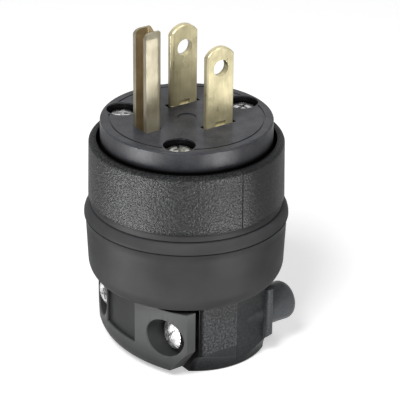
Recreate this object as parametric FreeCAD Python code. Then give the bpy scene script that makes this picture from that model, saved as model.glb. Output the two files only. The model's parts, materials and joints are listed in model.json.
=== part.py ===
import FreeCAD, Part
import math
import os
from FreeCAD import Vector

# A three-prong straight-blade plug that stands on its cord clamp, blades up.
# Millimetres. Z runs up the plug's axis from the flat end of the clamp.
# X runs from the ground pin towards the two flat blades.

# Heights along the axis
CLAMP_HEIGHT = 15.7
SLEEVE_HEIGHT = 18.3
RING_HEIGHT = 12.25
FACE_STAND = 4.25
BLADE_LENGTH = 17.1
GROUND_LENGTH = 20.6

# Housing: textured ring round the face plate, barrel under the sleeve, bore and floor
CREVICE_WIDTH = 0.82
CREVICE_DEPTH = 5.3
RING_RIM_WIDTH = 1.49
RING_TAPER = 0.2
RING_EDGE_R = 0.9
LEDGE_SEAT = 0.34
BARREL_WALL = 1.4
BORE_CORNER_R = 1.5
FLOOR_THICK = 2.5
CORD_HOLE_SPARE = 0.6

# Soft sleeve over the barrel: its walls, measured out from its bore
SLEEVE_FLANGE = 1.0
SLEEVE_CORNER_R = 4.3
SLEEVE_CORNER_STEP = 1.3
NECK_STEP = 0.65
SLEEVE_FOOT_WALL = 1.5
SLEEVE_WAIST_WALL = 1.85
SLEEVE_WAIST_DROP = 2.6
SLEEVE_BEND_DROP = 1.1
SLEEVE_BEND_WALL = 1.95
BEAD_FOOT_WALL = 2.25
BEAD_MIDDLE_WALL = 1.95
BEAD_TOP_WALL = 1.1
BEAD_LENGTH = 2.3
BEAD_MIDDLE_DROP = 1.1
COLLAR_WALL = 0.95
COLLAR_LENGTH = 1.75
LINE_DEPTH = 0.4
LINE_WIDTH = 0.3

# Face plate
FACE_R = 17.34
FACE_EDGE_R = 0.35
FACE_SKIN = 4.0
FACE_WALL = 2.2
FACE_LINE_INSET = 1.84
FACE_LINE_WIDTH = 0.35
FACE_LINE_DEPTH = 0.2
MARK_R = 1.9
MARK_DEPTH = 0.25

# Face screws and the posts that take them
FACE_SCREW_ANGLES = (0.0, 130.0, -130.0)
RECESS_SPARE = 0.45
RECESS_RIM = 0.64
RECESS_DEPTH = 2.9
FACE_HEAD_R = 2.75
FACE_HEAD_HEIGHT = 1.95
FACE_SHANK_R = 1.55
FACE_SCREW_LENGTH = 21.5
POST_WALL = 0.7
POST_HEIGHT = 11.5

# Blades and their terminals
BLADE_X = 3.2
BLADE_SPACING = 12.7
BLADE_WIDTH = 6.35
BLADE_THICK = 1.52
BLADE_TIP_RISE = 1.85
NEUTRAL_TIP_DROP = 0.55
BLADE_BEVEL = 0.28
HOT_BEVEL_WIDTH = 0.6
HOT_BEVEL_DEPTH = 0.4
BLADE_HOLE_R = 1.72
BLADE_HOLE_HEIGHT = 12.25
NOTCH_WIDTH = 2.4
NOTCH_HEIGHT = 0.9
NOTCH_DEPTH = 0.35
SHOULDER_WIDTH = 10.6
SHOULDER_HEIGHT = 1.5
LEG_WIDTH = 8.0
LEG_TAIL = 0.5
SLOT_SPARE = 0.6

# Folded ground pin
GROUND_TO_BLADES = 12.35
GROUND_WIDTH = 4.76
GROUND_DEPTH = 3.9
GROUND_THICK = 1.05
GROUND_INNER_R = 0.25
GROUND_TIP_BEVEL = 0.45
GROUND_TIP_BEVEL_LENGTH = 1.1
GROUND_LEG_TIP_R = 1.2
GROUND_WEB_CUT = 0.9

# Terminal screws and pressure plates
TERMINAL_CLEAR = 1.95
TERMINAL_SHANK_R = 1.9
TERMINAL_HEAD_R = 3.1
TERMINAL_HEAD_HEIGHT = 2.2
TERMINAL_SCREW_TAIL = 1.0
WIRE_GAP = 1.6
PLATE_WIDTH = 7.5
PLATE_HEIGHT = 8.0
PLATE_THICK = 1.3

# Terminal carrier
CARRIER_PLATE = 3.0
BARRIER_THICK = 1.8
BARRIER_DEPTH = 11.0
HUB_R = 2.6

# Cord clamp, rear half moulded on the housing
BLOCK_GAP_X = -7.1
BLOCK_BACK_X = 9.3
BLOCK_HALF_WIDTH = 15.4
BLOCK_TAPER = 0.7
FOOT_CENTRE_X = 2.0
FOOT_INSET = 0.1
FOOT_EDGE_R = 0.6
FOOT_MIDDLE_SPREAD = 0.9
FOOT_MIDDLE_HEIGHT = 3.4
FOOT_FLARE_SPREAD = 3.1
FOOT_FLARE_HEIGHT = 5.3
PAD_LENGTH = 9.4
PAD_STAND = 0.6
PAD_EDGE_R = 1.2
PAD_RISE = 0.8
LIP_THICK = 1.6
LIP_CORNER_R = 0.5
CORD_R = 5.0
CORD_MOUTH = 1.0

# Cord clamp, front half
CLAMP_GAP = 1.1
STRAP_THICK = 6.8
STRAP_BULGE = 4.71
STRAP_STAND = 0.3
STRAP_LIFT = 0.8
STRAP_EDGE_R = 3.0
STRAP_CUT_WIDTH = 4.63
STRAP_CUT_HEIGHT = 6.1
TONGUE_HALF_WIDTH = 4.0
FIELD_LOW_Y = -3.9
FIELD_HIGH_Y = 6.7
FIELD_LIFT = 5.7
FIELD_DEPTH = 0.7
STRAP_TILT = 2.3

# Clamp screws and the bosses behind the block
CLAMP_SCREW_INSET = 4.3
CLAMP_SCREW_DROP = 6.4
COUNTERBORE_SPARE = 1.05
COUNTERBORE_FLOOR = 1.4
CLAMP_HEAD_R = 3.05
CLAMP_HEAD_HEIGHT = 1.5
CLAMP_SHANK_R = 1.9
CLAMP_SCREW_LENGTH = 25.0
LEFT_SCREW_SLACK = 0.6
CLAMP_BOSS_WALL = 1.25
CLAMP_BOSS_END = 2.3
CLAMP_BOSS_EDGE_R = 1.9

# Screw heads' rims and threaded inserts
HEAD_BEVEL = 0.45
INSERT_WALL = 0.9
FACE_INSERT_LENGTH = 6.0
CLAMP_INSERT_LENGTH = 8.0

# Clearances
FIT = 0.1
THREAD_FIT = 0.05
HOLE_SPARE = 0.25
TOUCH = 1e-4

# Heights that follow
SLEEVE_Z = CLAMP_HEIGHT
LIP_Z = SLEEVE_Z + SLEEVE_HEIGHT
RING_Z = LIP_Z + RING_HEIGHT
FACE_Z = RING_Z + FACE_STAND
LEDGE_Z = RING_Z - CREVICE_DEPTH
FLOOR_UNDER_Z = SLEEVE_Z + SLEEVE_FLANGE
FLOOR_Z = FLOOR_UNDER_Z + FLOOR_THICK
POST_Z = FLOOR_Z + POST_HEIGHT
CAVITY_Z = FACE_Z - FACE_SKIN
FACE_SEAT_Z = FACE_Z - RECESS_DEPTH
CARRIER_UNDER_Z = LEDGE_Z - CARRIER_PLATE
SHOULDER_Z = CAVITY_Z - SHOULDER_HEIGHT
TERMINAL_Z = CARRIER_UNDER_Z - TERMINAL_CLEAR - PLATE_HEIGHT / 2
LEG_END_Z = TERMINAL_Z - PLATE_HEIGHT / 2 - LEG_TAIL
BLOCK_TOP_Z = SLEEVE_Z - FIT
CLAMP_SCREW_Z = SLEEVE_Z - CLAMP_SCREW_DROP

# Radii that follow from the face plate outwards and down
RING_MOUTH_R = FACE_R + CREVICE_WIDTH
RING_TOP_R = RING_MOUTH_R + RING_RIM_WIDTH
RING_FOOT_R = RING_TOP_R + RING_TAPER
FACE_LINE_R = FACE_R - FACE_LINE_INSET
RECESS_R = FACE_HEAD_R + RECESS_SPARE
FACE_SCREW_CIRCLE_R = FACE_R - RECESS_RIM - RECESS_R
POST_R = RECESS_R + POST_WALL
BORE_R = FACE_R - LEDGE_SEAT
BARREL_R = BORE_R + BARREL_WALL
BARREL_CORNER_R = SLEEVE_CORNER_R - SLEEVE_CORNER_STEP
SLEEVE_BORE_R = BARREL_R + FIT
SLEEVE_FOOT_R = SLEEVE_BORE_R + SLEEVE_FOOT_WALL
SLEEVE_CORNER_CENTRE_R = SLEEVE_FOOT_R - SLEEVE_CORNER_R
NECK_R = SLEEVE_CORNER_CENTRE_R - NECK_STEP
CORD_HOLE_R = CORD_R + CORD_HOLE_SPARE
GROUND_BEND_R = GROUND_INNER_R + GROUND_THICK

# Places across the plug that follow
BLADE_Y = BLADE_SPACING / 2
BLADE_OUTER_Y = BLADE_Y + BLADE_THICK / 2
GROUND_X = BLADE_X - GROUND_TO_BLADES
GROUND_OPEN_X = GROUND_X - GROUND_DEPTH / 2
GROUND_WEB_X = GROUND_X + GROUND_DEPTH / 2

# Sizes of the clamp that follow from its block
LIP_END_X = BLOCK_BACK_X + LIP_THICK
BLOCK_BACK_HALF_WIDTH = BLOCK_HALF_WIDTH - BLOCK_TAPER
PAD_HALF_WIDTH = BLOCK_HALF_WIDTH + PAD_STAND
FOOT_R = BLOCK_HALF_WIDTH - FOOT_INSET
STRAP_HALF_WIDTH = BLOCK_HALF_WIDTH + STRAP_STAND
STRAP_BACK_X = BLOCK_GAP_X - CLAMP_GAP
STRAP_FRONT_X = STRAP_BACK_X - STRAP_THICK
STRAP_END_X = STRAP_FRONT_X + STRAP_BULGE
STRAP_ARC_R = (STRAP_HALF_WIDTH ** 2 + STRAP_BULGE ** 2) / (2 * STRAP_BULGE)
CLAMP_SCREW_Y = BLOCK_HALF_WIDTH - CLAMP_SCREW_INSET
COUNTERBORE_R = CLAMP_HEAD_R + COUNTERBORE_SPARE
COUNTERBORE_SEAT_X = STRAP_BACK_X - COUNTERBORE_FLOOR
CLAMP_INSERT_END_X = COUNTERBORE_SEAT_X + CLAMP_SCREW_LENGTH + HOLE_SPARE
CLAMP_BOSS_R = CLAMP_SHANK_R + INSERT_WALL + CLAMP_BOSS_WALL
CLAMP_BOSS_END_X = CLAMP_INSERT_END_X + CLAMP_BOSS_END

UP = Vector(0, 0, 1)
ALONG_X = Vector(1, 0, 0)
ALONG_Y = Vector(0, 1, 0)


def rounded_wire(corners, place):
    """Closed outline through (u, v, radius) corners, each rounded by a tangent arc."""
    count = len(corners)
    starts = []
    ends = []
    middles = []
    for index in range(count):
        u, v, radius = corners[index]
        here = place(u, v)
        before = place(*corners[index - 1][:2]) - here
        after = place(*corners[(index + 1) % count][:2]) - here
        before.normalize()
        after.normalize()
        half_angle = before.getAngle(after) / 2
        setback = radius / math.tan(half_angle)
        inward = before + after
        if radius > 0:
            inward.normalize()
            reach = radius / math.sin(half_angle) - radius
            middles.append(here + inward * reach)
        else:
            middles.append(None)
        starts.append(here + before * setback)
        ends.append(here + after * setback)
    edges = []
    for index in range(count):
        if middles[index] is not None:
            edges.append(Part.Arc(starts[index], middles[index], ends[index]).toShape())
        following = starts[(index + 1) % count]
        if (following - ends[index]).Length > TOUCH:
            edges.append(Part.makeLine(ends[index], following))
    return Part.Wire(edges)


def prism(corners, low, high):
    """Solid over an outline in plan, between two heights."""
    wire = rounded_wire(corners, lambda x, y: Vector(x, y, low))
    return Part.Face(wire).extrude(UP * (high - low))


def side_prism(corners, low, high):
    """Solid over an outline seen along X, given as (y, z, radius)."""
    wire = rounded_wire(corners, lambda y, z: Vector(low, y, z))
    return Part.Face(wire).extrude(ALONG_X * (high - low))


def turned(corners):
    """Solid of revolution about the plug's axis, from (radius, z, corner radius)."""
    wire = rounded_wire(corners, lambda r, z: Vector(r, 0, z))
    return Part.Face(wire).revolve(Vector(0, 0, 0), UP, 360)


def turned_path(steps):
    """Turned solid from a closed path of (radius, z) ends, through an arc's middle where a step has two."""
    edges = []
    here = steps[-1][-1]
    for step in steps:
        points = [Vector(radius, 0, height) for radius, height in (here,) + step]
        if len(points) == 3:
            edges.append(Part.Arc(*points).toShape())
        else:
            edges.append(Part.makeLine(*points))
        here = step[-1]
    return Part.Face(Part.Wire(edges)).revolve(Vector(0, 0, 0), UP, 360)


def rod(radius, start, direction, length):
    return Part.makeCylinder(radius, length, start, direction)


def block(low, high):
    size = high - low
    return Part.makeBox(size.x, size.y, size.z, low)


def rectangle(low_x, high_x, half_y, radius=0.0):
    return [
        (low_x, -half_y, radius),
        (high_x, -half_y, radius),
        (high_x, half_y, radius),
        (low_x, half_y, radius),
    ]


def face_screw_spots(height):
    """Points on the three face screws' axes at a height."""
    spots = []
    for angle in FACE_SCREW_ANGLES:
        turn = math.radians(angle)
        across = Vector(math.cos(turn), math.sin(turn), 0)
        spots.append(across * FACE_SCREW_CIRCLE_R + UP * height)
    return spots


def edges_where(shape, test):
    return [edge for edge in shape.Edges if test(edge)]


def on_height(edge, height):
    box = edge.BoundBox
    return abs(box.ZMin - height) < TOUCH and abs(box.ZMax - height) < TOUCH


def housing_barrel():
    """Turned shell: textured ring, barrel under the sleeve, floor with the cord hole."""
    shell = turned([
        (0, FLOOR_UNDER_Z, 0),
        (BARREL_R, FLOOR_UNDER_Z, BARREL_CORNER_R),
        (BARREL_R, LIP_Z, 0),
        (RING_FOOT_R, LIP_Z, 0),
        (RING_TOP_R, RING_Z, RING_EDGE_R),
        (RING_MOUTH_R, RING_Z, 0),
        (RING_MOUTH_R, LEDGE_Z, 0),
        (BORE_R, LEDGE_Z, 0),
        (BORE_R, FLOOR_Z, BORE_CORNER_R),
        (0, FLOOR_Z, 0),
    ])
    inside = rod(BORE_R + FIT, Vector(0, 0, FLOOR_Z), UP, POST_HEIGHT)
    for spot in face_screw_spots(FLOOR_Z):
        shell = shell.fuse(rod(POST_R, spot, UP, POST_HEIGHT).common(inside))
    for spot in face_screw_spots(POST_Z):
        insert_hole = rod(FACE_SHANK_R + INSERT_WALL + THREAD_FIT, spot, -UP, FACE_INSERT_LENGTH)
        tip_hole = rod(FACE_SHANK_R + HOLE_SPARE, spot, -UP, POST_HEIGHT)
        shell = shell.cut(insert_hole).cut(tip_hole)
    return shell


def sleeve_room():
    """Space that the sleeve takes, with its clearance, where the clamp reaches up round it."""
    return turned([
        (0, BLOCK_TOP_Z, 0),
        (SLEEVE_FOOT_R + FIT, BLOCK_TOP_Z, SLEEVE_CORNER_R + FIT),
        (SLEEVE_FOOT_R + FIT, LIP_Z, 0),
        (0, LIP_Z, 0),
    ])


def flared_foot(top_z):
    """Round envelope of the clamp's foot: a rounded rim and a flare that runs out into the flat sides."""
    rim_r = FOOT_R - FOOT_EDGE_R
    slope = math.sqrt(0.5)
    flare_r = FOOT_R + FOOT_FLARE_SPREAD
    wide_r = flare_r + LIP_END_X
    foot = turned_path([
        ((rim_r, 0),),
        ((rim_r + slope * FOOT_EDGE_R, FOOT_EDGE_R - slope * FOOT_EDGE_R), (FOOT_R, FOOT_EDGE_R)),
        ((FOOT_R + FOOT_MIDDLE_SPREAD, FOOT_MIDDLE_HEIGHT), (flare_r, FOOT_FLARE_HEIGHT)),
        ((wide_r, FOOT_FLARE_HEIGHT),),
        ((wide_r, top_z),),
        ((0, top_z),),
        ((0, 0),),
    ])
    foot.translate(Vector(FOOT_CENTRE_X, 0, 0))
    return foot


def clamp_block():
    """Rear half of the cord clamp: core, side pads, lip, flared foot and bosses."""
    pad_end_x = BLOCK_GAP_X + PAD_LENGTH
    outline = [
        (BLOCK_GAP_X, -BLOCK_HALF_WIDTH, 0),
        (pad_end_x, -BLOCK_HALF_WIDTH, 0),
        (BLOCK_BACK_X, -BLOCK_BACK_HALF_WIDTH, 0),
        (BLOCK_BACK_X, BLOCK_BACK_HALF_WIDTH, 0),
        (pad_end_x, BLOCK_HALF_WIDTH, 0),
        (BLOCK_GAP_X, BLOCK_HALF_WIDTH, 0),
    ]
    core = prism(outline, 0, BLOCK_TOP_Z)
    top_z = SLEEVE_Z + PAD_RISE
    pads = prism(rectangle(BLOCK_GAP_X, pad_end_x, PAD_HALF_WIDTH, PAD_EDGE_R), 0, top_z)
    lip = prism(rectangle(BLOCK_BACK_X, LIP_END_X, PAD_HALF_WIDTH, LIP_CORNER_R), 0, BLOCK_TOP_Z)
    core = core.fuse(pads).fuse(lip).cut(sleeve_room()).common(flared_foot(top_z))
    for side in (-1, 1):
        start = Vector(0, side * CLAMP_SCREW_Y, CLAMP_SCREW_Z)
        boss = rod(CLAMP_BOSS_R, start, ALONG_X, CLAMP_BOSS_END_X)
        rim = edges_where(boss, lambda edge: abs(edge.BoundBox.XMin - CLAMP_BOSS_END_X) < TOUCH)
        core = core.fuse(boss.makeFillet(CLAMP_BOSS_EDGE_R, rim))
    return core


def cord_channel():
    """Space for the cord, open towards the strap, with a flared mouth below."""
    channel = rod(CORD_R, Vector(0, 0, 0), UP, FLOOR_UNDER_Z)
    slot = block(Vector(BLOCK_GAP_X, -CORD_R, 0), Vector(0, CORD_R, FLOOR_UNDER_Z))
    mouth = Part.makeCone(CORD_R + CORD_MOUTH, CORD_R, CORD_MOUTH)
    upper = rod(CORD_HOLE_R, Vector(0, 0, FLOOR_UNDER_Z), UP, FLOOR_THICK)
    return channel.fuse(slot).fuse(mouth).fuse(upper)


def housing():
    neck = rod(NECK_R, Vector(0, 0, BLOCK_TOP_Z), UP, FLOOR_UNDER_Z - BLOCK_TOP_Z)
    neck = neck.common(block(Vector(BLOCK_GAP_X, -NECK_R, 0), Vector(LIP_END_X, NECK_R, FLOOR_Z)))
    body = housing_barrel().fuse(clamp_block()).fuse(neck).cut(cord_channel())
    insert_r = CLAMP_SHANK_R + INSERT_WALL + THREAD_FIT
    for side in (-1, 1):
        start = Vector(BLOCK_GAP_X, side * CLAMP_SCREW_Y, CLAMP_SCREW_Z)
        shank_hole = rod(CLAMP_SHANK_R + HOLE_SPARE, start, ALONG_X, CLAMP_INSERT_END_X - BLOCK_GAP_X)
        insert_start = Vector(CLAMP_INSERT_END_X - CLAMP_INSERT_LENGTH, start.y, start.z)
        insert_hole = rod(insert_r, insert_start, ALONG_X, CLAMP_INSERT_LENGTH)
        body = body.cut(shank_hole).cut(insert_hole)
    return body.removeSplitter()


def sleeve():
    """Soft collar: round-cornered foot, slight flare, fine line, bead, fine line and collar."""
    inner_corner_r = BARREL_CORNER_R + FIT
    inner_centre_r = SLEEVE_BORE_R - inner_corner_r
    inner_z = FLOOR_UNDER_Z + inner_corner_r
    corner_z = SLEEVE_Z + SLEEVE_CORNER_R
    upper_line_z = LIP_Z - COLLAR_LENGTH
    lower_line_z = upper_line_z - BEAD_LENGTH
    collar_r = SLEEVE_BORE_R + COLLAR_WALL
    bead_top_r = SLEEVE_BORE_R + BEAD_TOP_WALL
    bead_middle_r = SLEEVE_BORE_R + BEAD_MIDDLE_WALL
    bead_foot_r = SLEEVE_BORE_R + BEAD_FOOT_WALL
    slope = math.sqrt(0.5)
    return turned_path([
        ((collar_r, LIP_Z),),
        ((collar_r, upper_line_z + LINE_WIDTH / 2),),
        ((collar_r - LINE_DEPTH, upper_line_z),),
        ((bead_top_r, upper_line_z - LINE_WIDTH / 2),),
        ((bead_middle_r, upper_line_z - BEAD_MIDDLE_DROP), (bead_foot_r, lower_line_z + LINE_WIDTH / 2)),
        ((bead_foot_r - LINE_DEPTH, lower_line_z),),
        ((bead_foot_r, lower_line_z - LINE_WIDTH / 2),),
        (
            (SLEEVE_BORE_R + SLEEVE_BEND_WALL, lower_line_z - SLEEVE_BEND_DROP),
            (SLEEVE_BORE_R + SLEEVE_WAIST_WALL, lower_line_z - SLEEVE_WAIST_DROP),
        ),
        ((SLEEVE_FOOT_R, corner_z),),
        (
            (SLEEVE_CORNER_CENTRE_R + slope * SLEEVE_CORNER_R, corner_z - slope * SLEEVE_CORNER_R),
            (SLEEVE_CORNER_CENTRE_R, SLEEVE_Z),
        ),
        ((NECK_R + FIT, SLEEVE_Z),),
        ((NECK_R + FIT, FLOOR_UNDER_Z),),
        ((inner_centre_r, FLOOR_UNDER_Z),),
        (
            (inner_centre_r + slope * inner_corner_r, inner_z - slope * inner_corner_r),
            (SLEEVE_BORE_R, inner_z),
        ),
        ((SLEEVE_BORE_R, LIP_Z),),
    ])


def blade_slots(spare, thick_spare, low, high):
    """Two flat slots in plan, wider and thicker than the blades by the spares."""
    half_x = BLADE_WIDTH / 2 + spare
    half_y = BLADE_THICK / 2 + thick_spare
    slots = []
    for side in (-1, 1):
        centre = side * BLADE_Y
        slots.append(block(
            Vector(BLADE_X - half_x, centre - half_y, low),
            Vector(BLADE_X + half_x, centre + half_y, high),
        ))
    return slots


def face_plate():
    """Cup-shaped disc: thick skin, outer wall, three screw bosses and the slots."""
    inner_r = FACE_R - FACE_WALL
    plate = turned([
        (0, FACE_Z, 0),
        (FACE_R, FACE_Z, FACE_EDGE_R),
        (FACE_R, LEDGE_Z, 0),
        (inner_r, LEDGE_Z, 0),
        (inner_r, CAVITY_Z, 0),
        (0, CAVITY_Z, 0),
    ])
    within = rod(FACE_R - FACE_WALL / 2, Vector(0, 0, LEDGE_Z), UP, FACE_Z - LEDGE_Z)
    for spot in face_screw_spots(LEDGE_Z):
        plate = plate.fuse(rod(POST_R, spot, UP, CAVITY_Z - LEDGE_Z).common(within))
    for spot in face_screw_spots(FACE_Z):
        plate = plate.cut(rod(RECESS_R, spot, -UP, RECESS_DEPTH))
        plate = plate.cut(rod(FACE_SHANK_R + HOLE_SPARE, spot, -UP, FACE_Z - LEDGE_Z))
    for slot in blade_slots(SLOT_SPARE, FIT, LEDGE_Z, FACE_Z):
        plate = plate.cut(slot)
    pin_slot = rectangle(GROUND_OPEN_X - FIT, GROUND_WEB_X + FIT, GROUND_WIDTH / 2 + FIT)
    pin_slot[1] = pin_slot[1][:2] + (GROUND_BEND_R,)
    pin_slot[2] = pin_slot[2][:2] + (GROUND_BEND_R,)
    plate = plate.cut(prism(pin_slot, LEDGE_Z, FACE_Z))
    line_z = FACE_Z - FACE_LINE_DEPTH
    line = rod(FACE_LINE_R + FACE_LINE_WIDTH / 2, Vector(0, 0, line_z), UP, FACE_LINE_DEPTH)
    line = line.cut(rod(FACE_LINE_R - FACE_LINE_WIDTH / 2, Vector(0, 0, line_z), UP, FACE_LINE_DEPTH))
    for spot in face_screw_spots(line_z):
        line = line.cut(rod(RECESS_R + FACE_LINE_WIDTH, spot, UP, FACE_LINE_DEPTH))
    mark = rod(MARK_R, Vector(0, 0, FACE_Z - MARK_DEPTH), UP, MARK_DEPTH)
    return plate.cut(line).cut(mark).removeSplitter()


def barrier(angle, reach, low):
    """Upright wall under the carrier, from the axis towards one face screw."""
    wall = block(Vector(0, -BARRIER_THICK / 2, low), Vector(reach, BARRIER_THICK / 2, CARRIER_UNDER_Z))
    wall.rotate(Vector(0, 0, 0), UP, angle)
    return wall


def terminal_carrier():
    """Block inside the face plate's cup, with barriers and screw tubes below it."""
    cup_depth = CAVITY_Z - LEDGE_Z
    body = rod(FACE_R - FACE_WALL - FIT, Vector(0, 0, LEDGE_Z), UP, cup_depth)
    for spot in face_screw_spots(LEDGE_Z):
        body = body.cut(rod(POST_R + FIT, spot, UP, cup_depth))
    body = body.fuse(rod(BORE_R - FIT, Vector(0, 0, CARRIER_UNDER_Z), UP, CARRIER_PLATE))
    barrier_z = CARRIER_UNDER_Z - BARRIER_DEPTH
    body = body.fuse(rod(HUB_R, Vector(0, 0, barrier_z), UP, BARRIER_DEPTH))
    for angle in FACE_SCREW_ANGLES:
        body = body.fuse(barrier(angle, FACE_SCREW_CIRCLE_R - POST_R - FIT, barrier_z))
        body = body.fuse(barrier(angle, FACE_SCREW_CIRCLE_R, POST_Z))
    inside = rod(BORE_R - FIT, Vector(0, 0, POST_Z), UP, CARRIER_UNDER_Z - POST_Z)
    for spot in face_screw_spots(POST_Z):
        body = body.fuse(rod(POST_R, spot, UP, CARRIER_UNDER_Z - POST_Z).common(inside))
    for spot in face_screw_spots(POST_Z):
        body = body.cut(rod(FACE_SHANK_R + HOLE_SPARE, spot, UP, LEDGE_Z - POST_Z))
    for width, low in ((SHOULDER_WIDTH, SHOULDER_Z), (LEG_WIDTH, CARRIER_UNDER_Z)):
        half = width / 2 + FIT
        for slot in blade_slots(half - BLADE_WIDTH / 2, FIT, low, CAVITY_Z):
            body = body.cut(slot)
        web_slot = block(
            Vector(GROUND_WEB_X - GROUND_THICK - FIT, -half, low),
            Vector(GROUND_WEB_X + FIT, half, CAVITY_Z),
        )
        body = body.cut(web_slot)
    return body.removeSplitter()


def edge_bevel(inner_y):
    """Wedge that a wide bevel takes off a blade, along the edge nearest the ground pin."""
    edge_x = BLADE_X - BLADE_WIDTH / 2
    return prism([
        (edge_x, inner_y, 0),
        (edge_x + HOT_BEVEL_WIDTH, inner_y, 0),
        (edge_x, inner_y + HOT_BEVEL_DEPTH, 0),
    ], FACE_Z, FACE_Z + BLADE_LENGTH)


def bevelled_bar(inner_y, tip_z):
    """Flat bar with a round tip and a bevel all round both of its faces."""
    half = BLADE_WIDTH / 2
    tip_r = (half ** 2 + BLADE_TIP_RISE ** 2) / (2 * BLADE_TIP_RISE)
    centre_z = tip_z - tip_r
    low = Vector(BLADE_X - half, inner_y, CAVITY_Z)
    bar = block(low, Vector(BLADE_X + half, inner_y + BLADE_THICK, tip_z))
    uprights = edges_where(bar, lambda edge: edge.BoundBox.ZLength > BLADE_WIDTH)
    bar = bar.makeChamfer(BLADE_BEVEL, uprights)
    disc = rod(tip_r, Vector(BLADE_X, inner_y, centre_z), ALONG_Y, BLADE_THICK)
    rims = edges_where(disc, lambda edge: edge.BoundBox.YLength < TOUCH)
    tip = bar.common(disc.makeChamfer(BLADE_BEVEL, rims))
    return bar.common(block(low, Vector(BLADE_X + half, inner_y + BLADE_THICK, centre_z))).fuse(tip)


def blade(side, tip_z):
    """Flat blade with a round tip, bevelled edges, shoulders and a tapped leg."""
    inner_y = side * BLADE_Y - BLADE_THICK / 2
    body = bevelled_bar(inner_y, tip_z)
    hole_start = Vector(BLADE_X, inner_y, FACE_Z + BLADE_HOLE_HEIGHT)
    body = body.cut(rod(BLADE_HOLE_R, hole_start, ALONG_Y, BLADE_THICK))
    notch = block(
        Vector(BLADE_X - NOTCH_WIDTH / 2, inner_y, FACE_Z),
        Vector(BLADE_X + NOTCH_WIDTH / 2, inner_y + NOTCH_DEPTH, FACE_Z + NOTCH_HEIGHT),
    )
    body = body.cut(notch)
    if side > 0:
        body = body.cut(edge_bevel(inner_y))
    for width, low in ((SHOULDER_WIDTH, SHOULDER_Z), (LEG_WIDTH, LEG_END_Z)):
        body = body.fuse(block(
            Vector(BLADE_X - width / 2, inner_y, low),
            Vector(BLADE_X + width / 2, inner_y + BLADE_THICK, CAVITY_Z),
        ))
    tapped = rod(TERMINAL_SHANK_R + THREAD_FIT, Vector(BLADE_X, inner_y, TERMINAL_Z), ALONG_Y, BLADE_THICK)
    return body.cut(tapped).removeSplitter()


def ground_pin():
    """Strip folded into a U that opens away from the blades, with a tapped leg."""
    tip_z = FACE_Z + GROUND_LENGTH
    half = GROUND_WIDTH / 2
    outer = prism([
        (GROUND_OPEN_X, -half, 0),
        (GROUND_WEB_X, -half, GROUND_BEND_R),
        (GROUND_WEB_X, half, GROUND_BEND_R),
        (GROUND_OPEN_X, half, 0),
    ], CAVITY_Z, tip_z)
    bevel_z = tip_z - GROUND_TIP_BEVEL_LENGTH
    tip_cut = side_prism([
        (-half, CAVITY_Z, 0),
        (half, CAVITY_Z, 0),
        (half, bevel_z, 0),
        (half - GROUND_TIP_BEVEL, tip_z, 0),
        (-half + GROUND_TIP_BEVEL, tip_z, 0),
        (-half, bevel_z, 0),
    ], GROUND_OPEN_X, GROUND_WEB_X)
    wire = rounded_wire([
        (GROUND_OPEN_X, CAVITY_Z, 0),
        (GROUND_WEB_X, CAVITY_Z, 0),
        (GROUND_WEB_X, bevel_z, 0),
        (GROUND_WEB_X - GROUND_TIP_BEVEL, tip_z, 0),
        (GROUND_OPEN_X, tip_z, GROUND_LEG_TIP_R),
    ], lambda x, z: Vector(x, -half, z))
    profile_cut = Part.Face(wire).extrude(ALONG_Y * GROUND_WIDTH)
    pin = outer.common(tip_cut).common(profile_cut)
    web_inner_x = GROUND_WEB_X - GROUND_THICK
    hollow = prism([
        (GROUND_OPEN_X - FIT, -half + GROUND_THICK, 0),
        (web_inner_x, -half + GROUND_THICK, GROUND_INNER_R),
        (web_inner_x, half - GROUND_THICK, GROUND_INNER_R),
        (GROUND_OPEN_X - FIT, half - GROUND_THICK, 0),
    ], CAVITY_Z, tip_z)
    pin = pin.cut(hollow)
    web_notch = side_prism([
        (-half + GROUND_THICK, tip_z, 0),
        (-half + GROUND_THICK + GROUND_TIP_BEVEL, tip_z - GROUND_WEB_CUT, 0),
        (half - GROUND_THICK - GROUND_TIP_BEVEL, tip_z - GROUND_WEB_CUT, 0),
        (half - GROUND_THICK, tip_z, 0),
    ], web_inner_x - FIT, GROUND_WEB_X)
    pin = pin.cut(web_notch)
    for width, low_z in ((SHOULDER_WIDTH, SHOULDER_Z), (LEG_WIDTH, LEG_END_Z)):
        pin = pin.fuse(block(
            Vector(web_inner_x, -width / 2, low_z),
            Vector(GROUND_WEB_X, width / 2, CAVITY_Z),
        ))
    tapped = rod(TERMINAL_SHANK_R + THREAD_FIT, Vector(web_inner_x, 0, TERMINAL_Z), ALONG_X, GROUND_THICK)
    return pin.cut(tapped).removeSplitter()


def headed_screw(seat, inward, head_r, head_height, shank_r, length):
    """Pan-head screw: seat is the underside of the head, inward the way it is driven."""
    head = rod(head_r, seat, -inward, head_height)
    top = seat - inward * head_height

    def is_rim(edge):
        return (edge.BoundBox.Center - top).Length < TOUCH

    head = head.makeChamfer(HEAD_BEVEL, edges_where(head, is_rim))
    return head.fuse(rod(shank_r, seat, inward, length)).removeSplitter()


def terminals():
    """Screw and pressure plate of each terminal, with the way the screw is driven."""
    hot_face = Vector(BLADE_X, BLADE_OUTER_Y, TERMINAL_Z)
    neutral_face = Vector(BLADE_X, -BLADE_OUTER_Y, TERMINAL_Z)
    ground_face = Vector(GROUND_WEB_X - GROUND_THICK, 0, TERMINAL_Z)
    return {
        "hot": (hot_face, -ALONG_Y, BLADE_THICK),
        "neutral": (neutral_face, ALONG_Y, BLADE_THICK),
        "ground": (ground_face, ALONG_X, GROUND_THICK),
    }


def terminal_screw(face, inward, strip):
    seat = face - inward * (WIRE_GAP + PLATE_THICK)
    length = WIRE_GAP + PLATE_THICK + strip + TERMINAL_SCREW_TAIL
    return headed_screw(seat, inward, TERMINAL_HEAD_R, TERMINAL_HEAD_HEIGHT, TERMINAL_SHANK_R, length)


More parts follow.
